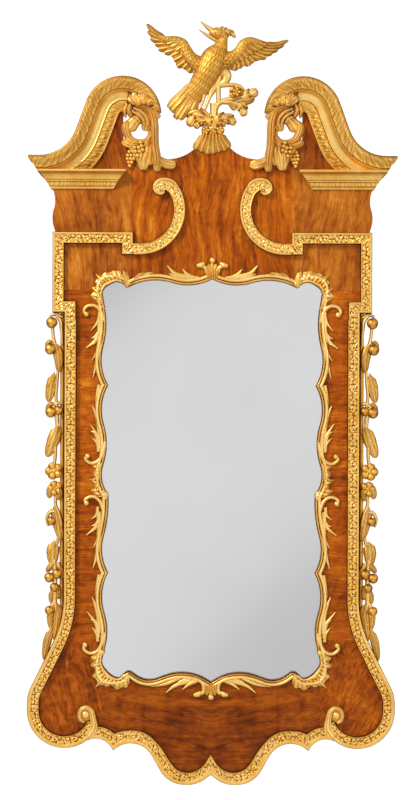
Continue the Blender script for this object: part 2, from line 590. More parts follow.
makePair("Cornice", [corniceShell()], "cornice")
print("neck and cornice carved")


def leafShell(points, half, rise, base=veneerFront, lobes=4, thick=0.2, across=11, barbs=0, tip=0.12, tint=0.0):
    # a leaf along a line: its edge swells into each lobe and is cut back after it, side points lean forward,
    # and its face is crowned, with a rib, a hollow each side of it and a ridge to each lobe
    count = 14 + 8 * lobes + barbs
    line = smoothPath(points, count)
    way = normals(line)
    f = np.linspace(0, 1, count)
    along, v = f[:, None], np.linspace(-1, 1, across)[None, :]
    side = np.abs(v)
    at = np.clip(along + 0.8 / max(lobes, 3) * side * (1 - along)**0.5, 0, 1)
    phase = (along * lobes) % 1.0
    width = half * np.interp(at, [0, 0.2, 0.5, 0.8, 0.94, 1], [0.5, 0.9, 1.0, 0.62 + tip, 0.35 + tip, tip])
    if lobes:
        width = width * (1 - 0.3 * (1 - phase)**1.2)
    cx, cz, nx, nz = (np.interp(at, f, a) for a in (line[:, 0], line[:, 1], way[:, 0], way[:, 1]))
    ridge = np.sin(np.pi * phase) if lobes else 0.5
    rib = groove(v, 0, 0.17)
    hollow = groove(side, 0.36, 0.15)
    lines = np.cos(2 * np.pi * (along * barbs - 1.5 * side)) * 0.5 if barbs else 0.0
    swell = np.interp(f, [0, 0.25, 0.6, 1], [0.6, 1.0, 0.95, 0.5])[:, None]
    face = 1 - 0.7 * side**1.8 + 0.14 * rib - 0.2 * hollow + 0.3 * (ridge - 0.5) * side + 0.16 * lines * side
    front = np.stack([cx + nx * v * width, base - rise * swell * face, cz + nz * v * width], -1)
    tone = (0.38 + tint + 0.38 * (1 - side**2) + 0.18 * rib - 0.3 * hollow + 0.5 * (ridge - 0.5) + 0.3 * lines
            + 0 * at)
    return closed(front, np.clip(tone, 0, 1), base + thick, 0.25)


def stemShell(points, widths, rise, base=veneerFront, thick=0.2, flutes=0, count=40, across=11, edge=0.46):
    # a rounded rod along a line, wide as given at each point; flutes are grooves along it
    line = smoothPath(np.c_[points, widths], count)
    way = normals(line[:, :2])
    v = -np.cos(np.linspace(0, np.pi, across))[None, :]
    width = np.maximum(line[:, 2], 0.3)[:, None]
    flute = (0.5 - 0.5 * np.cos(np.pi * (flutes + 1) * (v + 1)))**2 * (1 - v**2) if flutes else 0 * v
    share = np.clip(width / width.max(), 0, 1)**0.5
    height = rise * share * (np.sqrt(1 - v**2) - 0.2 * flute)
    x, z = (line[:, k:k + 1] + way[:, k:k + 1] * v * width for k in (0, 1))
    tone = np.clip(edge + (0.82 - edge) * np.sqrt(1 - v**2) - 0.26 * flute + 0 * width, 0, 1)
    return closed(np.stack([x, base - height, z], -1), tone, base + thick, 0.25)


def flowerShell(x, z, radius, rise, base, thick, petals=5):
    # petals as lobes of the rim, cupped between the heart and the edge, round a raised heart
    r = np.r_[np.linspace(0.05, 1, 16), 1.0][:, None]
    a = np.linspace(0, 2 * np.pi, 12 * petals, endpoint=False)[None, :]
    lobe = np.abs(np.cos(petals * a / 2))
    edge = radius * (0.8 + 0.2 * lobe**0.5)
    heart = groove(r, 0, 0.22)
    cup = np.sin(np.pi * np.clip(r - 0.1, 0, 1))**1.5
    lift = rise * (0.45 + 0.35 * cup * (0.5 + 0.5 * lobe) + 0.4 * heart)
    lift[-1] = -thick
    tone = np.clip(0.18 + 0.52 * lobe**0.6 * np.sin(np.pi * np.clip(r, 0.15, 0.85)) + 0.3 * heart, 0, 1)
    return loft(np.stack([x + edge * r * np.cos(a), base - lift, z + edge * r * np.sin(a)], -1), tone)


def limbShell(rows, scale, lift, count, around, stretch=1.5):
    # rings round a line of (x, z, half width, half depth, y), with rows of small round-ended feathers that overlap:
    # two staggered sets of scales, each rising from its root to its tip, and the higher one is seen
    line = smoothPath(rows, count)
    way = normals(line[:, :2])
    a = np.linspace(0, 2 * np.pi, around, endpoint=False)[None, :]
    row = lengths(line[:, :2])[:, None] / (scale * stretch)
    many = max(6, round(2 * math.pi * line[:, 2].mean() / scale))
    tip = 0.0
    for shift in (0.0, 0.5):
        u = (a / (2 * np.pi) * many + shift) % 1 - 0.5
        t = (row / 2 + shift + 0.2 * np.cos(2 * np.pi * u)) % 1
        inside = smoothStep(0.0, 0.12, 1 - (2 * u)**2 - (np.maximum(t - 0.55, 0) / 0.45)**2)
        tip = np.maximum(tip, inside * (0.25 + 0.75 * t) * (1 - 0.5 * (2 * u)**2))
    wide, deep = line[:, 2:3] + lift * tip, line[:, 3:4] + lift * tip
    x, z = (line[:, k:k + 1] + way[:, k:k + 1] * np.cos(a) * wide for k in (0, 1))
    return loft(np.stack([x, line[:, 4:5] - np.sin(a) * deep, z], -1), np.clip(0.16 + 0.52 * tip, 0, 1))


# pierced terminals of the neck: rosette of leaves, fluted C-scroll ring, long stem, hanging leaves and grapes
terminal = {
    "arch": (179.5, 297.0, 77.0), "turn": (9.5, 84), "back": -36.0, "boss": (142.5, -44, 300, 18),
    "leafRise": 13.0, "leafAt": -46, "rosetteRise": 11.0, "tint": 0.14, "grape": 4.3, "stemThick": 6,
    "stems": [  # points, half widths, rise, base, how it is cut
        ([(159.6, 313), (145.6, 307), (133.5, 295), (128.8, 277)], [3, 4, 4, 3], 20, -46, {"edge": 0.6}),
        ([(160.5, 305), (149.5, 300), (140.1, 290.6), (136.4, 277)], [3, 3.8, 3.8, 2.5], 19, -46, {"edge": 0.6}),
        ([(159.5, 296), (150.5, 292), (144.9, 284)], [3, 3.5, 2.5], 17, -46, {}),
        ([(174.7, 340), (156.7, 334), (136.6, 324), (124.6, 312), (120.5, 292)], [13, 19, 20, 16, 9], 17, -42,
            {"edge": 0.6}),
        ([(137.6, 309), (146.6, 310), (143.6, 318), (130.6, 315), (121.5, 301), (117.1, 280), (116.4, 258),
            (115.3, 236), (112.2, 216), (111.5, 200)], [2.5, 4, 5.5, 7, 8, 8.6, 8.4, 8.4, 8.6, 7], 25, -44,
            {"flutes": 2, "count": 110, "across": 25, "edge": 0.66}),
        ([(124.4, 268), (127.4, 254), (137.3, 247), (150.3, 246), (164.3, 251), (172.4, 264), (174.4, 278),
            (168.5, 288)], [5, 5.5, 5.5, 6, 7.5, 8.5, 8, 4], 17, -44,
            {"flutes": 2, "count": 90, "across": 25, "edge": 0.66}),
        ([(171.6, 322), (176.6, 310), (174.5, 295)], [3, 4.5, 2], 16, -44, {}),
        ([(164.6, 321), (167.6, 308), (162.5, 296)], [5, 6.5, 4], 20, -44, {"flutes": 1, "across": 17})],
    "rosette": ((148.6, 320, 167.7, 336, 9, 58), (146.6, 324, 155.7, 346, 9, 60), (140.6, 324, 139.7, 350, 9.5, 61),
        (134.6, 322, 124.7, 344, 9.5, 60), (128.6, 318, 112.6, 332, 9.5, 58), (126.6, 312, 106.6, 314, 8.5, 55),
        (122.6, 310, 107.9, 293, 7, 53), (144.6, 317, 154.6, 332, 7.5, 66), (136.6, 318, 136.7, 335, 8, 66),
        (130.6, 316, 120.6, 328, 8, 64)),  # root, tip, half width, forward
    "leaves": (([(142.5, 298), (156.5, 287), (169, 270)], 12), ([(134.5, 304), (131.9, 288), (133.8, 268)], 9.5),
        ([(146.3, 241), (164.3, 239), (181.3, 247)], 7), ([(122.4, 262), (128.3, 250), (139.3, 237)], 8),
        ([(138.3, 240), (152.3, 235), (165.3, 229)], 7), ([(134.3, 238), (146.3, 231), (158.2, 224)], 6),
        ([(132.3, 244), (133.6, 226), (137.6, 210), (140.1, 190)], 11),
        ([(125.3, 242), (124.2, 224), (125.6, 212), (127.1, 200)], 9),
        ([(114.3, 232), (112.2, 214), (111.1, 200), (111.1, 187)], 8),
        ([(111.2, 222), (103.2, 207), (90.2, 201.4), (74.1, 201)], 9.5),
        ([(141.3, 240), (147.3, 228), (150.2, 212)], 8), ([(140.3, 236), (144.2, 222), (145.2, 202)], 8)),
    "bunches": {-47: [(167.2, 226), (159.2, 226), (170.2, 219), (163.2, 219), (156.2, 219), (170.6, 212),
        (164.2, 212), (158.2, 212), (168.2, 205), (162.2, 205), (166.1, 198)],
        -58: [(156.3, 234), (148.3, 234), (142.3, 237), (154.3, 226), (146.5, 226), (150.3, 218), (140.3, 229),
            (144.3, 244)]}}


def headShell():
    # the neck's rim and carved band carried on round the arch, narrowing to the rim alone
    a = np.radians(np.linspace(*terminal["turn"], 120))[:, None]
    degrees = np.degrees(a)
    w = np.linspace(0, 1, 26)[None, :] * np.interp(degrees, [9, 22, 50, 70, 84], [0.42, 0.4, 0.32, 0.2, 0.06])
    x, z, radius = terminal["arch"]
    r = radius - w * neck["width"]
    height, tone = neckHeights(radius * a + 0 * w, w)
    height = height * np.interp(degrees, [9, 40, 70, 84], [1.0, 0.92, 0.75, 0.5])
    front = np.stack([x - r * np.sin(a), veneerFront - height, z + r * np.cos(a)], -1)
    return closed(front, tone, terminal["back"], 0.3)


terminalShells = [
    headShell(), ballShell(*terminal["boss"], flat=0.6, around=32, tone=0.2),
    *(stemShell(points, widths, rise, base, terminal["stemThick"], **cut)
      for points, widths, rise, base, cut in terminal["stems"])]
for rootX, rootZ, tipX, tipZ, half, forward in terminal["rosette"]:
    points = [(rootX, rootZ), ((rootX + tipX) / 2 + 1.5, (rootZ + tipZ) / 2 + 1.5), (tipX, tipZ)]
    terminalShells.append(leafShell(points, half, terminal["rosetteRise"], -forward, lobes=0, thick=12, tip=0.5,
                                    tint=terminal["tint"]))
terminalShells += [leafShell(points, half, terminal["leafRise"], terminal["leafAt"], lobes=0, thick=5, tip=0.5,
                             tint=terminal["tint"])
                   for points, half in terminal["leaves"]]
terminalShells += [ballShell(x, y, z, terminal["grape"], tone=0.3) for y, bunch in terminal["bunches"].items()
                   for x, z in bunch]
makePair("Terminal", terminalShells, "terminal")
print("terminals carved")

# the finial: a crested bird with spread wings on a flowering branch over a leafy foot
bird = {
    "scale": 5.5, "ruffle": 1.2, "headScale": 5.0, "headRuffle": 0.8,
    "tailHalf": 7.5, "tailAt": -27, "tailStep": 0.6, "legAt": -30, "rise": 7, "thick": 6,
    "body": [(19.2, 458, 9, 9, -33), (18.2, 448, 10, 10, -33), (14.2, 436, 15, 13, -33), (5.2, 420, 24, 18, -32),
        (-3.8, 402, 26, 20, -31), (-12, 384, 25, 19, -30), (-22, 366, 23, 15, -29), (-34, 348, 20, 10, -28),
        (-46, 332, 17, 6, -27)],  # x, z, half width, half depth, y
    "head": [(-5.8, 471, 5, 5, -33), (-0.8, 468, 9, 8, -33), (8.2, 465, 12, 11, -33), (17.2, 461, 13, 11, -33),
        (22.2, 453, 11, 9, -33)],
    "beak": [  # points, half widths, rise, base
        ([(1.2, 469), (-8.8, 476), (-17.8, 483.4), (-25.2, 489.4)], [6, 4.2, 2.4, 0.6], 7, -32),
        ([(11.2, 452), (-4.8, 458), (-17.8, 466), (-28.2, 473)], [6.5, 3.8, 2.2, 0.6], 6, -31)],
    "crest": [([(1.2, 471), (17.2, 469), (33.2, 468), (44.8, 457.4)], 8, -35),
        ([(5.2, 474), (19.2, 473), (31.2, 470)], 6, -38)],  # points, half width, base
    "eye": (3.2, -44.5, 466, 1.8),
    "tail": (((-35, 374), (-64, 342), (-89.2, 316)), ((-34, 370), (-58, 336), (-84, 309)),
        ((-32, 366), (-53, 328), (-76, 295)), ((-30, 364), (-47, 326), (-67, 293)),
        ((-27, 362), (-41, 330), (-57, 303)), ((-23, 358), (-33, 332), (-44, 308))),
    "legs": (([(17.2, 392), (27.2, 382), (25.2, 371), (13.2, 362)], [11, 10, 8, 5]),
        ([(9.2, 361), (25.2, 362), (41.2, 362.4), (53.2, 359.4), (64.2, 351)], [5, 4.2, 4.2, 4.2, 1.8]),
        ([(9.2, 366), (10.8, 350), (11.2, 332), (11.2, 322)], [6.5, 5, 4.5, 4]),
        ([(-16, 368), (-16.8, 350), (-20.8, 328), (-28.8, 310)], [6, 5, 3, 2.2]),
        ([(9, 392), (8, 376), (1, 358), (-6.8, 338), (-12.8, 322), (-17.8, 308)], [9, 11, 9, 4, 3, 2.2]))}
birdShells = [
    limbShell(bird["body"], bird["scale"], bird["ruffle"], count=190, around=150, stretch=2.3),
    limbShell(bird["head"], bird["headScale"], bird["headRuffle"], count=50, around=60),
    *(stemShell(*part, thick=bird["thick"]) for part in bird["beak"]),
    *(leafShell(points, half, bird["rise"], base, lobes=3, thick=7) for points, half, base in bird["crest"]),
    ballShell(*bird["eye"])]
birdShells += [leafShell(points, bird["tailHalf"], bird["rise"], bird["tailAt"] - bird["tailStep"] * (k % 2),
                         lobes=0, thick=5, barbs=12, tip=0.6, tint=-0.08) for k, points in enumerate(bird["tail"])]
birdShells += [stemShell(points, widths, bird["rise"], bird["legAt"], bird["thick"])
               for points, widths in bird["legs"]]
makePiece("birdBody", birdShells, "bird_body")

wings = {
    "scale": 5.0, "ruffle": 1.3, "rise": 4.5, "fuller": 1.15, "covert": 6.2,
    "feathersAt": -27.5, "feathersStep": 0.35, "covertsAt": -32.0, "covertsStep": 0.3,  # mm, each over the last
    "left": {
        "bone": [(-14.8, 398, 17, 11, -31), (-30.8, 404, 16, 11, -31), (-44.8, 415, 13, 10, -31),
            (-54.2, 430, 11, 8, -31), (-61.8, 444, 10, 7, -31), (-76.8, 451, 8, 6, -31), (-92.8, 453, 5.5, 5, -31),
            (-108.8, 458, 2, 2, -30)],
        "feathers": [((-90.8, 456), (-112.8, 464), (-133.4, 484.4), 6),
            ((-86.8, 454), (-110.8, 458), (-131.8, 470), 6), ((-82.8, 452), (-104.8, 451), (-125.8, 455), 6.5),
            ((-76.8, 450), (-96.8, 445), (-116.8, 444), 6.5), ((-70.8, 446), (-88.8, 438), (-109.8, 434), 6.5),
            ((-66.8, 442), (-80.8, 432), (-97.8, 427), 6.5), ((-58.8, 438), (-68.8, 428), (-83.8, 421), 6.5),
            ((-50.8, 432), (-62.8, 420), (-78.8, 411), 7), ((-44.8, 426), (-56.8, 410), (-72.8, 399), 7),
            ((-36.8, 420), (-48.8, 406), (-60.8, 396), 7), ((-30.8, 414), (-40.8, 400), (-50.8, 388), 7),
            ((-24.8, 410), (-32.8, 396), (-39.8, 386), 7)],
        "coverts": [((-78.8, 457), (-88.8, 453), (-100.8, 452)), ((-70.8, 456), (-80.8, 448), (-92.8, 444)),
            ((-62.8, 454), (-72.8, 444), (-84.8, 438)), ((-54.8, 450), (-64.8, 438), (-74.8, 430)),
            ((-48.8, 444), (-54.8, 432), (-64.8, 422)), ((-42.8, 436), (-48.8, 422), (-58.8, 412)),
            ((-36.8, 428), (-40.8, 416), (-48.8, 404)), ((-28.8, 422), (-32.8, 410), (-38.8, 398))]},
    "right": {
        "bone": [(11.2, 406, 20, 12, -31), (27.2, 412, 17, 11, -31), (41.2, 418, 13, 10, -31),
            (53.2, 430, 10, 8, -31), (61.2, 444, 9, 7, -31), (73.2, 450, 7.5, 6, -31), (91.2, 448, 5, 5, -31),
            (107.2, 444, 2, 2, -30)],
        "feathers": [((97.2, 448), (123.2, 443), (151.2, 452.4), 5.5),
            ((91.2, 446), (115.2, 438), (142.2, 442), 5.5), ((85.2, 444), (107.2, 433), (130.2, 433), 6),
            ((79.2, 442), (99.2, 428), (119.2, 426.4), 6), ((73.2, 440), (89.2, 424), (107.2, 418), 6.5),
            ((67.2, 436), (79.2, 421), (94.2, 416), 6.5), ((63.2, 432), (73.2, 418), (82.2, 408), 6.5),
            ((57.2, 428), (67.2, 412), (72.2, 400.4), 7), ((51.2, 424), (59.2, 410), (61.2, 400), 7),
            ((45.2, 420), (51.2, 406), (51.2, 395), 7), ((37.2, 418), (43.2, 402), (41.2, 391), 7),
            ((31.2, 416), (35.2, 402), (33.2, 393), 6)],
        "coverts": [((85.2, 452), (95.2, 446), (107.2, 442)), ((77.2, 452), (87.2, 442), (99.2, 436)),
            ((69.2, 450), (77.2, 438), (89.2, 432)), ((63.2, 446), (69.2, 432), (79.2, 424)),
            ((57.2, 440), (61.2, 426), (69.2, 416)), ((51.2, 432), (53.2, 420), (59.2, 410)),
            ((43.2, 426), (45.2, 414), (49.2, 404))]}}


def wingShells(bone, feathers, coverts):
    # an arm of small scales, long flight feathers fanned from it and a row of short feathers over their roots
    shells = [limbShell(bone, wings["scale"], wings["ruffle"], count=150, around=90)]
    for k, (root, bend, tip, half) in enumerate(feathers):
        shells.append(leafShell([root, bend, tip], half * wings["fuller"], wings["rise"],
                                wings["feathersAt"] - wings["feathersStep"] * k, lobes=0, thick=4, barbs=24,
                                tip=min(0.45, 0.08 + 0.09 * k), tint=-0.2))
    for k, points in enumerate(coverts):
        shells.append(leafShell(points, wings["covert"], wings["rise"],
                                wings["covertsAt"] - wings["covertsStep"] * k, lobes=0, thick=5, barbs=12,
                                tip=0.45, tint=-0.16))
    return shells


for hand in ("left", "right"):
    makePiece(hand + "Wing", wingShells(**wings[hand]), hand + "_wing")

branch = {
    "rise": 8, "leafAt": -29,
    "stems": [  # points, half widths, rise, base, thickness
        ([(-2.8, 270), (0.2, 290), (2.2, 310), (2.2, 326)], [10, 8, 8, 8.5], 9, -28, 7),
        ([(1.2, 304), (10.2, 324), (25.2, 332), (45.2, 336)], [6, 5.5, 5, 5], 7, -28, 6),
        ([(17.2, 328), (37.2, 327), (55.2, 322)], [4, 4.5, 4], 7, -28, 6)],
    "flowers": [(47.2, 347, 15.5, 8, -31, 9), (47.2, 347, 10.5, 13, -33, 6)],  # x, z, radius, rise, base, thickness
    "leaves": (([(49.2, 337), (69.2, 341), (89.8, 351)], 14, 2), ([(53.2, 334), (69.2, 332), (83.2, 337)], 9, 0),
        ([(43.2, 330), (57.2, 320), (63.2, 300)], 12, 2), ([(31.2, 329), (39.2, 322), (45.2, 312)], 7, 0))}
branchShells = [stemShell(*stem) for stem in branch["stems"]]
branchShells += [flowerShell(*flower) for flower in branch["flowers"]]
branchShells += [leafShell(points, half, branch["rise"], branch["leafAt"], lobes, thick=6, tip=0.25)
                 for points, half, lobes in branch["leaves"]]
makePiece("floweringBranch", branchShells, "branch")

plinth = {
    "neck": ([(0, 277), (0, 269), (0, 260)], [18, 19, 17], 13, -28, 14),
    "flowers": [(-14, 270, 9.5, 10, -36, 6), (14, 270, 9.5, 10, -36, 6), (0, 267, 8, 9, -40, 6)],
    "foot": ([(-0.8, 264), (-1.8, 250), (-2.8, 236), (-2.8, 230)], [18, 23, 31, 32], 14, -30, 12),
    "leaves": (([(-4.8, 276), (-14.8, 296), (-32.8, 303), (-49.2, 280)], 15, 3),
        ([(-2.8, 276), (-12.8, 288), (-24.8, 289), (-35.8, 276)], 11, 3),
        ([(1.2, 276), (13.2, 293), (29.2, 295), (45.8, 285)], 13, 3),
        ([(1.2, 274), (11.2, 284), (26.2, 283)], 9, 3), ([(-8.8, 274), (-4.8, 292), (-2.8, 306)], 9, 3)),
    "skirt": ((-36.2, 232, 8), (-24.8, 227, 8), (-11.8, 222, 8.5), (0, 223, 9), (12.2, 226, 8.5), (24.2, 229, 8),
        (33.2, 235, 8)),  # tip, half width
    "rise": 11, "leafAt": -30, "skirtTop": 266, "skirtRise": 8, "skirtAt": -42}
plinthShells = [stemShell(*plinth["neck"]), *(flowerShell(*flower) for flower in plinth["flowers"]),
                stemShell(*plinth["foot"])]
plinthShells += [leafShell(points, half, plinth["rise"], plinth["leafAt"], lobes, thick=8, tip=0.3, tint=-0.06)
                 for points, half, lobes in plinth["leaves"]]
for tipX, tipZ, half in plinth["skirt"]:
    rootX, rootZ = tipX * 0.45, plinth["skirtTop"]
    points = [(rootX, rootZ), ((rootX + tipX) / 2 * 0.92, (rootZ + tipZ) / 2), (tipX, tipZ)]
    plinthShells.append(leafShell(points, half, plinth["skirtRise"], plinth["skirtAt"], lobes=0, thick=10, tip=0.45,
                                  barbs=6, tint=-0.12))
makePiece("leafyPlinth", plinthShells, "finial_plinth")
print("finial carved")

# side pendants: a hooked stem hung with leaves, round fruits, a flower and buds
pendant = {
    "base": -40.0, "back": 6.0, "rise": 10.0, "stemRise": 8.0, "flowerRise": 11.0, "fruitAt": -46.0,
    "stems": [([(300, -105), (311, -99), (325, -102)], [2.5, 3.5, 2.5]),
        ([(313, -101), (305, -110), (301.9, -130), (299.8, -160)], [3, 4, 3.5, 2.5]),
        ([(319.9, -124), (318.4, -142), (314.8, -160), (307.7, -174)], [3.5, 3.2, 4, 3]),
        ([(308.6, -212), (310.5, -240), (312.4, -266), (309.3, -286)], [2.8, 3, 3.2, 3]),
        ([(316.3, -286), (311.2, -302), (309.2, -324)], [5, 5, 4]),
        ([(300.3, -278), (310.3, -277), (318.3, -286)], [2.5, 4, 4]),
        ([(313, -364), (313.5, -384), (315.9, -404)], [3.2, 3.4, 3.2]),
        ([(312.6, -464), (312.6, -480), (305.5, -498), (299.4, -522)], [3.4, 3.4, 3.2, 2.6]),
        ([(309.5, -494), (322.5, -495), (329.5, -506), (327, -524)], [4.5, 4, 3.4, 2.6]),
        ([(307.3, -546), (309.3, -560)], [3, 3]),
        ([(315.1, -590), (313.5, -614), (313.3, -642), (313.9, -666), (310.7, -694)], [4.5, 4.5, 5, 5, 3]),
        ([(311.8, -672), (317.8, -680), (324.7, -694)], [4, 4, 3]),
        ([(306.1, -596), (304.1, -606), (308, -618)], [3, 3, 3])],
    "leaves": [([(319.8, -152), (311, -168), (306.5, -190), (306.6, -215)], 10.5),
        ([(314.6, -213), (320.5, -238), (327.7, -275)], 11), ([(305.2, -317), (315.1, -346), (329.5, -385)], 13),
        ([(314.6, -476), (309.4, -510), (300.7, -552)], 11), ([(313.3, -550), (317.2, -572), (317.5, -602)], 13),
        ([(311.8, -674), (307.7, -696), (309.1, -718), (313.9, -752)], 9),
        ([(317.2, -722), (326.7, -750), (334.8, -791)], 8.5), ([(307.8, -676), (301.8, -692), (303.7, -714)], 5.5),
        ([(311.7, -440), (321.7, -450), (325.6, -468)], 8), ([(307.7, -442), (303.7, -456), (306.6, -472)], 7),
        ([(313.1, -594), (321.1, -604), (330.4, -615)], 7), ([(311.1, -600), (303.1, -610), (298.4, -630)], 7),
        ([(313, -634), (307.9, -650), (305.4, -670)], 7), ([(313.9, -646), (319.9, -662), (320.8, -678)], 6),
        ([(314.8, -680), (322.1, -702), (321.2, -730)], 7), ([(318.8, -152), (325.8, -156), (333.2, -164)], 6),
        ([(312.3, -278), (323.3, -281), (331.7, -292)], 6)],
    "fruits": [(320.9, -116, 11.8), (323.7, -169, 11.5), (322.3, -295, 11.5), (306.7, -292, 9.5), (320.8, -513, 9),
        (324, -626, 10.5), (308.6, -619, 10.5), (313.9, -646, 9.5), (323.8, -692, 9.5)],
    "flowers": [(315.8, -413, 18), (313.1, -448, 16)]}
pendantShells = [stemShell(points, widths, pendant["stemRise"], pendant["base"], pendant["back"])
                 for points, widths in pendant["stems"]]
pendantShells += [leafShell(points, half, pendant["rise"], pendant["base"], lobes=0, thick=pendant["back"],
                            tip=0.16, barbs=5) for points, half in pendant["leaves"]]
pendantShells += [ballShell(x, pendant["fruitAt"], z, radius, flat=0.85, around=30, tone=0.2, creases=3)
                  for x, z, radius in pendant["fruits"]]
pendantShells += [flowerShell(*flower, pendant["flowerRise"], pendant["base"], pendant["back"])
                  for flower in pendant["flowers"]]
makePair("Pendant", pendantShells, "pendant")
print("pendants carved")

# slip round the glass: a double rail that follows the shaped opening, with scrolls, leaves and shell fringes
slip = {
    "half": 220.0, "low": -835.0, "high": 808.0, "rail": 12.5, "over": 0.6, "rise": 7.0, "leafRise": 6.5,
    "ends": (156.0, 56.0), "rows": 19, "stations": 150, "edge": 0.92, "topEdge": 0.97, "lowEdge": 0.84,
    "shares": [(0, 1, 0), (0.169, 0.975, None), (0.57, 1.007, None), (0.774, 0.978, 0), (0.833, 0.996, None),
        (1.022, 0.995, None), (0.95, 0.877, None), (1.041, 0.783, None), (0.949, 0.735, 0), (1.041, 0.687, None),
        (0.934, 0.59, None), (1.035, 0.496, None), (0.944, 0.464, 0), (0.936, 0.407, None), (1.033, 0.313, None),
        (0.944, 0.27, 0), (1.031, 0.224, None), (0.93, 0.125, None), (1.002, 0.048, None), (0.997, 0.009, None),
        (0.815, 0.007, None), (0.765, 0.032, None), (0.592, -0.001, None), (0.22, 0.035, None), (0, 0, 0)]}
sight = roundedPath([(x * slip["half"], slip["low"] + z * slip["high"], r) for x, z, r in slip["shares"]],
                    spacing=1.6)


def railShell(first, last, edge=slip["edge"]):
    # two reeds with a groove between them, the outer one broader, and past the edge a dark step down to the glass
    def heights(s, w, across):
        shape = np.maximum(arch(w, 0.3, 0.31), 0.75 * arch(w, 0.5 * (0.61 + edge), 0.5 * (edge - 0.61)))
        return (slip["rise"] * np.where(w > edge, 0.04, 0.25 + 0.75 * shape),
                np.clip((0.02 + 0.85 * shape) * (w < edge), 0, 1))
    line, way = sight[first:last], normals(sight)[first:last]
    return bandShell(line + slip["rail"] * way, line - slip["over"] * way, heights, slip["rows"])


def fringeHeights(s, w, across):
    # shell ribs that sink to the ragged edge, each rounded; inside them a groove and a smooth rim with a dark edge
    rib = np.abs(np.sin(np.pi * (s / 8.5 + 0.35 * w)))**0.7
    curl = np.abs(np.sin(np.pi * (1.6 * w + 0.15 * np.sin(s / 4.0))))**0.6
    rim = smoothStep(0.72, 0.78, w)
    crown = arch(w, 0.86, 0.14)
    ribs = (0.35 + 0.45 * rib + 0.2 * curl) * smoothStep(-0.1, 0.5, w)
    tone = (1 - rim) * (0.12 + 0.42 * rib + 0.32 * curl) + rim * 0.8 * crown - 0.3 * groove(w, 0.74, 0.04)
    return 1.5 + 6.5 * ((1 - rim) * ribs + rim * (0.3 + 0.6 * crown)), np.clip(tone, 0, 1)


def fringe(outer, inner):
    edges = (smoothPath(points, slip["stations"]) for points in (outer, inner))
    return bandShell(*edges, fringeHeights, slip["rows"])


def slipLeaf(points, half, lobes=3):
    return leafShell(points, half, slip["leafRise"], veneerFront - 2.5, lobes, across=9, thick=2.7, tip=0.2)


def slipStroke(points, half):
    # a slender leaf end: round in section, fullest near its root and drawn out to a point
    widths = 1.25 * half * np.interp(np.linspace(0, 1, len(points)), [0, 0.3, 0.7, 1], [0.9, 1.0, 0.7, 0.2])
    return stemShell(points, widths, 0.8 * slip["leafRise"], veneerFront - 0.6, 0.8, count=26, across=9, edge=0.1)


def slipScroll(points, widths):
    return stemShell(points, widths, slip["leafRise"], veneerFront - 0.5, 0.7, edge=0.15)


cornerTop = int(np.argmax(sight[:, 0] > slip["ends"][0]))
sideTop = int(np.argmax(sight[:, 1] < slip["low"] + slip["high"] - slip["ends"][1]))
sideLow = int(np.argmax(sight[:, 1] < slip["low"] + slip["ends"][1]))
cornerLow = sideLow + int(np.argmax(sight[sideLow:, 0] < slip["ends"][0]))

slipTop = {
    "strokes": [([(35, -29), (55.3, -24), (75.3, -17), (90.4, -1)], 6),
        ([(26, -27), (39.3, -25), (51.3, -18), (59.4, -8)], 5), ([(56, -27), (71, -24), (87.3, -17)], 4.4)],
    "leaf": ([(163.2, -40), (151.3, -24), (131.3, -18), (99.3, -22)], 5)}
makePiece("slipTop", both([railShell(0, cornerTop + 1, slip["topEdge"]),
                           *(slipStroke(*stroke) for stroke in slipTop["strokes"]),
                           slipLeaf(*slipTop["leaf"])]), "slip_top")

slipBottom = {
    "strokes": [([(31, -829), (50.2, -834), (72.2, -842), (90.1, -856)], 4.6),
        ([(28, -832), (42.2, -838), (57.2, -849.6)], 4.2), ([(62.2, -826), (90.2, -838), (120.2, -844)], 4),
        ([(46.2, -828), (62.2, -835), (75.2, -846)], 4)]}
makePiece("slipBottom", both([railShell(cornerLow, len(sight), slip["lowEdge"]),
                              *(slipStroke(*stroke) for stroke in slipBottom["strokes"])]), "slip_bottom")

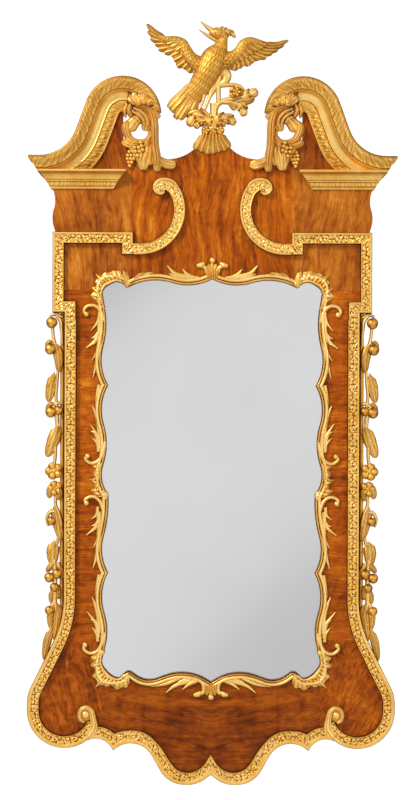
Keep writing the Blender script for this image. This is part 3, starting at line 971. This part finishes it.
slipSide = {
    "strokes": (([(227.9, -136), (232.8, -143), (242.2, -147)], 4),
        ([(233.8, -150), (236.8, -157), (244.2, -159)], 3.5), ([(226.4, -512), (231.4, -520), (240.8, -523)], 4),
        ([(229.1, -350), (234.1, -336), (242.1, -333)], 4), ([(227.6, -728), (232.7, -714), (240.7, -710)], 4),
        ([(224.5, -88), (228, -112), (242.3, -132)], 3.8),
        ([(226, -106), (226.5, -138), (236, -154), (252.2, -166.6)], 5),
        ([(225, -122), (225.5, -152), (231.5, -176), (240.7, -192)], 4),
        ([(224.5, -138), (227, -170), (231.5, -198), (238.5, -227)], 5),
        ([(225, -358), (225.5, -328), (232, -300), (239.7, -281)], 4.8),
        ([(226, -368), (229, -344), (244.2, -318)], 4.6), ([(227, -374), (229, -358), (240.1, -346)], 3.8),
        ([(228, -484), (230, -500), (240.8, -509.6)], 3.8), ([(225, -494), (228, -520), (250.7, -541.6)], 5),
        ([(224.5, -508), (224.5, -534), (229, -552), (237.2, -567)], 4),
        ([(224, -522), (226, -556), (230, -584), (237.1, -608)], 5),
        ([(225, -738), (225, -708), (231.5, -682), (238.9, -664)], 4.8),
        ([(226, -746), (229, -722), (248.8, -693.6)], 4.6), ([(227, -754), (228.5, -740), (238.6, -725)], 3.8),
        ([(226, -240), (229.5, -260), (233.5, -284)], 4), ([(224.5, -620), (228, -640), (232.3, -664)], 4)),
    "scrolls": ([(252, -102), (257, -94), (253.1, -85), (243.1, -81), (231.1, -84), (222, -96), (217, -114)],
        [(249.9, -380), (252.9, -388), (241.9, -397), (229.9, -394), (220.9, -384), (216, -368), (214, -354)],
        [(250.6, -480), (253.6, -472), (245.6, -465), (233.6, -465), (224.6, -472), (218.5, -486), (215.5, -502)],
        [(252.5, -758), (255.5, -766), (244.4, -777), (230.4, -775), (221.5, -764), (214.5, -750), (212.6, -736)]),
    "scrollHalf": [3, 4, 4, 4.2, 4.5, 4.5, 3],
    "hook": ([(223.6, -459), (216.7, -454), (210.6, -458), (211.6, -467), (218.6, -470)], [2, 2.8, 3, 3, 2]),
    "knobs": [(252, -45, -99, 5.8), (248.9, -45, -383, 5.8), (250.6, -45, -477, 5.8), (252.5, -45, -761, 5.8),
        (214, -44, -461, 6.0), (218.4, -44, -776, 6.0)],
    "fringe": ([(227.9, -398), (239.9, -402), (234.8, -410), (238.8, -418), (235.8, -426), (244.8, -430),
        (235.7, -440), (234.7, -446), (241.7, -451), (238.7, -456), (229.6, -464)],
        [(217.9, -396), (222.8, -410), (224.4, -426), (224.3, -442), (219.7, -454), (215.6, -464)])}
sideShells = [railShell(sideTop, sideLow + 1), *(slipStroke(*stroke) for stroke in slipSide["strokes"])]
sideShells += [slipScroll(points, slipSide["scrollHalf"]) for points in slipSide["scrolls"]]
sideShells += [slipScroll(*slipSide["hook"]), *(ballShell(*knob, flat=0.9) for knob in slipSide["knobs"]),
               fringe(*slipSide["fringe"])]
makePair("SlipSide", sideShells, "slip_side")

cornerShell = {
    "leaf": ([(178.3, -11), (173.3, -24), (170.2, -45)], 8, 0),
    "upper": ([(181.3, -14), (191.3, -12), (199.3, -12), (206.3, -16), (213.3, -15), (223.3, -22), (233.3, -18),
        (230.3, -28), (234.3, -35), (231.2, -42), (240.2, -46), (238.2, -54), (243.1, -63), (238.1, -69),
        (231.1, -76), (223.1, -88)],
        [(181.2, -36), (193.3, -34), (205.2, -39), (215.2, -46), (220.2, -56), (221.1, -68), (217.1, -80),
        (215, -90)]),
    "lower": ([(228.4, -778), (240.4, -786), (235.4, -794), (242.3, -802), (233.3, -808), (232.3, -814),
        (237.3, -822), (233.2, -828), (227.2, -834), (231.2, -846), (222.2, -842), (214.2, -842), (206.2, -844),
        (199.2, -842), (192.2, -848), (184.2, -850), (177.2, -845), (171.2, -847), (162.2, -836)],
        [(216.4, -778), (218.4, -790), (217.3, -802), (210.3, -812), (202.3, -820), (192.2, -826), (184.2, -827),
        (176.3, -820), (166.3, -816)])}
makePair("UpperShell", [railShell(cornerTop, sideTop + 1), slipLeaf(*cornerShell["leaf"]),
                        fringe(*cornerShell["upper"])], "upper_shell")
makePair("LowerShell", [railShell(sideLow, cornerLow + 1, slip["lowEdge"]), fringe(*cornerShell["lower"])],
         "lower_shell")

palmettes = {
    "top": (-29.0, 16.0, (22.5, 0.0), 1.0),  # low, high, the arm's end, spread
    "bottom": (-836.0, -871.0, (26.0, -859.0), 1.1),
    "ribs": [(5.0, 8.0, 0.72, 5.29), (10.0, 14.0, 0.55, 5.29)],  # root, tip, share of the height, half width
    "knobs": [(0, 0, 6.2), (5.0, -1.0, 4.8), (-4.0, 2.5, 4.8)], "trunk": [5.0, 5.0, 5.5], "bud": 6.6,
    "arm": ([(50.3, -826), (30.2, -828), (16.2, -838), (15.1, -852), (24.1, -861)], [2.5, 4, 4.5, 4.5, 3])}


def palmette(low, high, reach, spread):
    # ribs side by side that fan out from a trunk, a bud on the middle one and an arm with three knobs each side
    up, front = high - low, veneerFront - 4
    ribs = [slipLeaf([(x * spread, low), (x * spread, low + 0.4 * up), (out * spread, low + share * up)], half, 0)
            for x, out, share, half in palmettes["ribs"]]
    trunk = [(11.0 * spread, low + 0.3 * up), (13.0 * spread, low + 0.5 * up), reach]
    ribs.append(slipScroll(trunk, palmettes["trunk"]))
    ribs += [ballShell(reach[0] + dx, front, reach[1] + dz, size, flat=0.9)
             for dx, dz, size in palmettes["knobs"]]
    return both(ribs) + [slipLeaf([(0, low), (0, low + 0.5 * up), (0, low + 0.8 * up)], 6.0, 0),
                         ballShell(0, front, high - 6.5 * np.sign(up), palmettes["bud"], flat=0.9)]


makePiece("topPalmette", palmette(*palmettes["top"]), "top_palmette")
makePiece("bottomPalmette", palmette(*palmettes["bottom"]) + both([slipScroll(*palmettes["arm"])]),
          "bottom_palmette")
print("slip carved")

# veneers, boards, glass and iron keep their solids and get their finishes
finishes = {"crest_centre_veneer": makeWalnut(
    "flameWalnutVeneerCrest", turn=0, figure=120, seed=1.0, wave=0.045, mottle=0.45, shade=0.04, line=0.95)}
for hand, seed, way, slope, dim, dusk in (("left", 2.0, 1, 10, 0.13, 0.225), ("right", 3.0, -1, -35, 0.06, 0.25)):
    finishes[hand + "_crest_veneer"] = makeWalnut(
        hand + "StraightWalnutVeneerCrest", turn=8 * way, figure=150, seed=seed, wave=0.03, mottle=0.4, shade=0.05,
        top="honey", dusk=dusk)
    finishes[hand + "_stile_veneer"] = makeWalnut(
        hand + "CrossbandedWalnutVeneer", turn=90, figure=140, seed=seed + 6, wave=0.03, mottle=0.6, shade=0.04,
        fall=-1.6)
    finishes[hand + "_foot_veneer"] = makeWalnut(
        hand + "BurrWalnutVeneer", turn=slope, figure=90, seed=seed + 7, wave=0.04, mottle=0.9, shade=dim,
        fall=-1.6, line=0.45)
    finishes[hand + "_apron_veneer"] = makeWalnut(
        hand + "MatchedWalnutVeneer", turn=82, figure=110, seed=5.0, shade=0.1, match=way, line=0.6)

plain = {
    "pine": [(0.25, "#5D3F22"), (0.5, "#8A6237"), (0.75, "#A87F4C")], "pineRing": 7.0,  # mm
    "glass": [(0.2, "#EFEFF1"), (0.8, "#F7F7F7")], "glassCloud": 260.0,
    "iron": [(0.35, "#5A4A3C"), (0.6, "#8B857C")], "rust": 5.0}


def startPlain(name, stops, size, detail, stretch=None):
    # a new material whose colour runs through its stops with one noise, which is given back too
    material, tree, shader, place = newMaterial(name)
    if stretch:
        place = addNode(tree, "Mapping", {"Vector": place, "Scale": stretch})
    noise = addNode(tree, "TexNoise", {"Vector": place, "Scale": perMetre / size, "Detail": detail})
    setInputs(shader, {"Base Color": fillRamp(addNode(tree, "ValToRGB", {"Fac": noise}), stops)})
    return material, tree, shader, noise


def makePine(name, along):
    # old planed pine, left bare at the back: pale brown with soft growth lines and dust
    material, tree, shader, rings = startPlain(name, plain["pine"], plain["pineRing"], 5.0, along)
    lump = addNode(tree, "Bump", {"Strength": 0.2, "Distance": 0.0005, "Height": rings})
    setInputs(shader, {"Roughness": 0.75, "Normal": lump})
    return material


def makeGlass():
    # old silvered plate: a clear reflection, very slightly uneven and greyed
    material, _, shader, _ = startPlain("oldSilveredPlateGlass", plain["glass"], plain["glassCloud"], 3.0)
    setInputs(shader, {"Metallic": 1.0, "Roughness": 0.12})
    return material


def makeIron():
    # dull steel fittings: grey brown with light rust in the grain
    material, tree, shader, rust = startPlain("dullForgedSteel", plain["iron"], plain["rust"], 5.0)
    rough = addNode(tree, "MapRange", {"Value": rust, "To Min": 0.6, "To Max": 0.35})
    setInputs(shader, {"Metallic": 0.9, "Roughness": rough})
    return material


pine, crossPine = makePine("oldPlanedPine", (1.0, 1.0, 0.08)), makePine("oldPlanedPineAcross", (0.08, 1.0, 1.0))
glass, iron = makeGlass(), makeIron()
for name, node in nodes.items():
    finish = plainGilt
    if name in finishes:
        finish = finishes[name]
    elif name == "mirror_glass":
        finish = glass
    elif name.endswith("_batten") or name == "apron_core":
        finish = crossPine
    elif name.endswith("_core") or name in ("backboard", "glass_blocks"):
        finish = pine
    elif "hanger" in name or name.endswith("screws"):
        finish = iron
    node.data.materials.clear()
    node.data.materials.append(finish)
print("finishes set")

# stage: pale floor below, white surround, soft light from the upper left and right, and a far light in the glass
studio = {
    "floor": -1.10, "floorHalf": 1.6, "floorFront": -1.8, "paper": "#F2F1EE", "paperRough": 0.9,  # m
    "seenWhite": 1.1, "surround": 0.55,
    "camera": (-0.0108, -6.0, -0.27), "lens": 133.9, "sensor": 36.0, "roll": -0.2,  # m, mm, mm, degrees
    "lights": [  # name, place, target, size, power, lean
        ("keySoftbox", (-2.2, -2.6, 2.2), (0, 0, -0.2), (0.8, 1.1), 140.0, 0.0),
        ("fillSoftbox", (2.6, -3.0, 0.4), (0, 0, -0.2), (1.5, 2.0), 34.0, 0.0),
        ("farSoftbox", (-0.07, -8.0, -0.52), (-0.07, 0, -0.52), (4.0, 1.48), 4.0, -40.5)]}  # seen in the glass
scene = bpy.context.scene
floorMesh = bpy.data.meshes.new("floor")
floorMesh.from_pydata([(x * studio["floorHalf"], y * studio["floorFront"], studio["floor"])
                       for x, y in ((-1, 1), (1, 1), (1, 0), (-1, 0))], [], [(0, 1, 2, 3)])
floor = bpy.data.objects.new("floor", floorMesh)
scene.collection.objects.link(floor)
paper, _, shader, _ = newMaterial("paleStudioPaper")
setInputs(shader, {"Base Color": linear(studio["paper"]), "Roughness": studio["paperRough"]})
floorMesh.materials.append(paper)

world = bpy.data.worlds.new("whiteSurround")
world.use_nodes = True
scene.world = world
seen = addNode(world.node_tree, "LightPath", output="Is Camera Ray")
strength = addNode(world.node_tree, "MapRange", {"Value": seen, "To Min": studio["surround"],
                                                 "To Max": studio["seenWhite"]})
setInputs(world.node_tree.nodes["Background"], {"Strength": strength, "Color": (1.0, 1.0, 1.0, 1.0)})

for name, place, target, size, power, lean in studio["lights"]:
    data = bpy.data.lights.new(name, "AREA")
    data.shape = "RECTANGLE"
    data.size, data.size_y = size
    data.energy = power
    lamp = bpy.data.objects.new(name, data)
    lamp.location = place
    aim = np.array(target, float) - np.array(place, float)
    lamp.rotation_euler = (math.atan2(math.hypot(aim[0], aim[1]), -aim[2]), math.radians(lean),
                           math.atan2(aim[1], aim[0]) - math.pi / 2)
    scene.collection.objects.link(lamp)

lens = bpy.data.cameras.new("camera")
lens.sensor_fit = "VERTICAL"
lens.sensor_height = studio["sensor"]
lens.lens = studio["lens"]
camera = bpy.data.objects.new("camera", lens)
camera.location = studio["camera"]
camera.rotation_euler = (math.pi / 2, math.radians(studio["roll"]), 0)
scene.collection.objects.link(camera)
scene.camera = camera
scene.view_settings.view_transform = "Standard"

print("scene ready")
